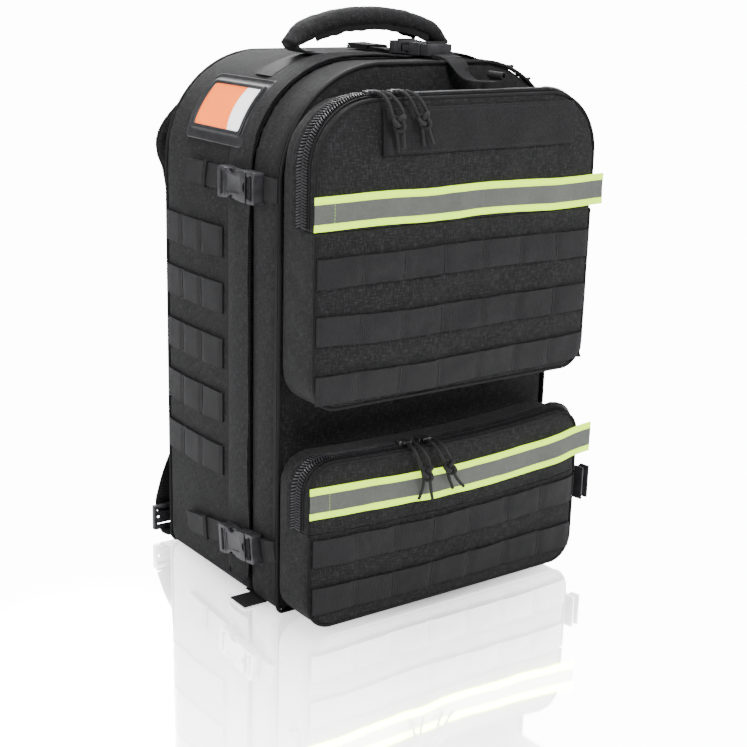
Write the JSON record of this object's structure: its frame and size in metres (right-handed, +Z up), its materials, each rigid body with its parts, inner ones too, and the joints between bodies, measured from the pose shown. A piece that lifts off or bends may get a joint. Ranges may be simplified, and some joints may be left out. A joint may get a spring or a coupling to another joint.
{
  "type": "trauma backpack",
  "caption": "Clamshell medical backpack with zipped front pockets, webbing rows, reflective tapes, compression buckles, carry handle and shoulder straps.",
  "frame": {"origin": "middle of the main body's footprint on the floor", "axes": "+Z up, +Y towards the wearer's back, +X to the right seen from the front"},
  "size_m": [0.365, 0.2925, 0.53],
  "materials": {
    "shell_cloth": "coarse matt nylon weave",
    "webbing": "ribbed matt webbing",
    "zipper_coil": "moulded coil",
    "buckle_plastic": "fine-grained moulding",
    "reflective_tape": "lime edges round a grey reflective middle",
    "loop_fabric": "brushed loop pile",
    "mesh_pad": "open spacer mesh",
    "holder_frame": "satin moulding",
    "clear_window": "clear film",
    "card": "printed card",
    "slider_metal": "black enamel",
    "pull_cord": "braided cord"
  },
  "bodies": {
    "rear": {"rear_shell": "shell_cloth", "main_zipper_rear": "zipper_coil", "side_webbing_rows": "webbing", "buckle_sockets": "buckle_plastic", "rear_compression_straps": "webbing", "sewn_webbing": "webbing", "id_frame": "holder_frame", "id_window": "clear_window", "back_pads": "mesh_pad", "strap_yoke": "shell_cloth", "storm_flap": "shell_cloth"},
    "front_panel": {"front_shell": "shell_cloth", "main_zipper_front": "zipper_coil", "upper_pocket": "shell_cloth", "upper_pocket_zipper_fixed": "zipper_coil", "upper_webbing_rows": "webbing", "lower_pocket": "shell_cloth", "lower_pocket_zipper_fixed": "zipper_coil", "lower_webbing_rows": "webbing", "front_compression_straps": "webbing"},
    "upper_lid": {"upper_pocket_lid": "shell_cloth", "upper_pocket_zipper_lid": "zipper_coil", "upper_reflective_tape": "reflective_tape", "loop_patch": "loop_fabric"},
    "lower_lid": {"lower_pocket_lid": "shell_cloth", "lower_pocket_zipper_lid": "zipper_coil", "lower_reflective_tape": "reflective_tape"},
    "upper_slider_left": {"upper_slider_left": "slider_metal", "upper_pull_left_a": "pull_cord", "upper_pull_left_b": "pull_cord"},
    "upper_slider_right": {"upper_slider_right": "slider_metal", "upper_pull_right_a": "pull_cord", "upper_pull_right_b": "pull_cord"},
    "lower_slider_left": {"lower_slider_left": "slider_metal", "lower_pull_left_a": "pull_cord", "lower_pull_left_b": "pull_cord"},
    "lower_slider_right": {"lower_slider_right": "slider_metal", "lower_pull_right_a": "pull_cord", "lower_pull_right_b": "pull_cord"},
    "main_slider_left": {"main_slider_left": "slider_metal", "main_pull_left": "pull_cord"},
    "main_slider_right": {"main_slider_right": "slider_metal", "main_pull_right": "pull_cord"},
    "carry_handle": {"carry_handle": "shell_cloth"},
    "id_card": {"id_card": "card"},
    "shoulder_strap_left": {"shoulder_pad_left": "shell_cloth", "strap_webbing_left": "webbing"},
    "shoulder_strap_right": {"shoulder_pad_right": "shell_cloth", "strap_webbing_right": "webbing"},
    "ladder_lock_left": {"ladder_lock_left": "buckle_plastic"},
    "ladder_lock_right": {"ladder_lock_right": "buckle_plastic"},
    "waist_belt_left": {"waist_webbing_left": "webbing", "waist_buckle_plug": "buckle_plastic"},
    "waist_belt_right": {"waist_webbing_right": "webbing", "waist_buckle_socket": "buckle_plastic"},
    "buckle_plug_upper_left": {"buckle_plug_upper_left": "buckle_plastic"},
    "buckle_plug_upper_right": {"buckle_plug_upper_right": "buckle_plastic"},
    "buckle_plug_lower_left": {"buckle_plug_lower_left": "buckle_plastic"},
    "buckle_plug_lower_right": {"buckle_plug_lower_right": "buckle_plastic"},
    "buckle_plug_top": {"buckle_plug_top": "buckle_plastic"}
  },
  "joints": [
    {"name": "front_panel_fold", "type": "hinge", "parent": "rear", "child": "front_panel", "pos_m": [0, -0.025, 0], "axis": [1, 0, 0], "range_deg": [0, 100]},
    {"name": "upper_lid_fold", "type": "hinge", "parent": "front_panel", "child": "upper_lid", "pos_m": [0, -0.128, 0.358], "axis": [1, 0, 0], "range_deg": [0, 120]},
    {"name": "lower_lid_fold", "type": "hinge", "parent": "front_panel", "child": "lower_lid", "pos_m": [0, -0.128, 0.095], "axis": [1, 0, 0], "range_deg": [0, 100]},
    {"name": "upper_slider_left_run", "type": "hinge", "parent": "upper_lid", "child": "upper_slider_left", "pos_m": [-0.097, -0.113, 0.407], "axis": [0, -1, 0], "range_deg": [0, 80]},
    {"name": "upper_slider_right_run", "type": "slide", "parent": "upper_lid", "child": "upper_slider_right", "axis": [1, 0, 0], "range_m": [0, 0.158]},
    {"name": "lower_slider_left_run", "type": "slide", "parent": "lower_lid", "child": "lower_slider_left", "axis": [-1, 0, 0], "range_m": [0, 0.074]},
    {"name": "lower_slider_right_run", "type": "slide", "parent": "lower_lid", "child": "lower_slider_right", "axis": [1, 0, 0], "range_m": [0, 0.146]},
    {"name": "main_slider_left_run", "type": "hinge", "parent": "front_panel", "child": "main_slider_left", "pos_m": [0.055, -0.025, 0.388], "axis": [0, -1, 0], "range_deg": [0, 18]},
    {"name": "main_slider_right_run", "type": "hinge", "parent": "front_panel", "child": "main_slider_right", "pos_m": [0.055, -0.025, 0.388], "axis": [0, 1, 0], "range_deg": [0, 38]},
    {"name": "handle_swing", "type": "hinge", "parent": "rear", "child": "carry_handle", "pos_m": [0, 0.022, 0.493], "axis": [1, 0, 0], "range_deg": [-45, 16]},
    {"name": "card_slide", "type": "slide", "parent": "rear", "child": "id_card", "axis": [0, 1, 0], "range_m": [0, 0.09]},
    {"name": "shoulder_strap_left_swing", "type": "hinge", "parent": "rear", "child": "shoulder_strap_left", "pos_m": [0, 0.141, 0.474], "axis": [1, 0, 0], "range_deg": [0, 35]},
    {"name": "shoulder_strap_right_swing", "type": "hinge", "parent": "rear", "child": "shoulder_strap_right", "pos_m": [0, 0.141, 0.474], "axis": [1, 0, 0], "range_deg": [0, 35]},
    {"name": "ladder_lock_left_tip", "type": "hinge", "parent": "rear", "child": "ladder_lock_left", "pos_m": [-0.148, 0.1465, 0.008], "axis": [-1, 0, 0], "range_deg": [0, 40]},
    {"name": "ladder_lock_right_tip", "type": "hinge", "parent": "rear", "child": "ladder_lock_right", "pos_m": [0.148, 0.1465, 0.008], "axis": [-1, 0, 0], "range_deg": [0, 40]},
    {"name": "waist_belt_left_swing", "type": "hinge", "parent": "rear", "child": "waist_belt_left", "pos_m": [-0.112, 0.1398, 0.0705], "axis": [0, 0, 1], "range_deg": [0, 85]},
    {"name": "waist_belt_right_swing", "type": "hinge", "parent": "rear", "child": "waist_belt_right", "pos_m": [0.1566, 0.118, 0.0705], "axis": [0, 0, 1], "range_deg": [0, 100]},
    {"name": "buckle_upper_left_release", "type": "slide", "parent": "front_panel", "child": "buckle_plug_upper_left", "axis": [0, -1, 0], "range_m": [0, 0.04]},
    {"name": "buckle_upper_right_release", "type": "slide", "parent": "front_panel", "child": "buckle_plug_upper_right", "axis": [0, -1, 0], "range_m": [0, 0.04]},
    {"name": "buckle_lower_left_release", "type": "slide", "parent": "front_panel", "child": "buckle_plug_lower_left", "axis": [0, -0.9925, 0.1219], "range_m": [0, 0.04]},
    {"name": "buckle_lower_right_release", "type": "slide", "parent": "front_panel", "child": "buckle_plug_lower_right", "axis": [0, -0.9925, 0.1219], "range_m": [0, 0.04]},
    {"name": "buckle_top_release", "type": "slide", "parent": "front_panel", "child": "buckle_plug_top", "axis": [0, -1, 0], "range_m": [0, 0.04]}
  ]
}
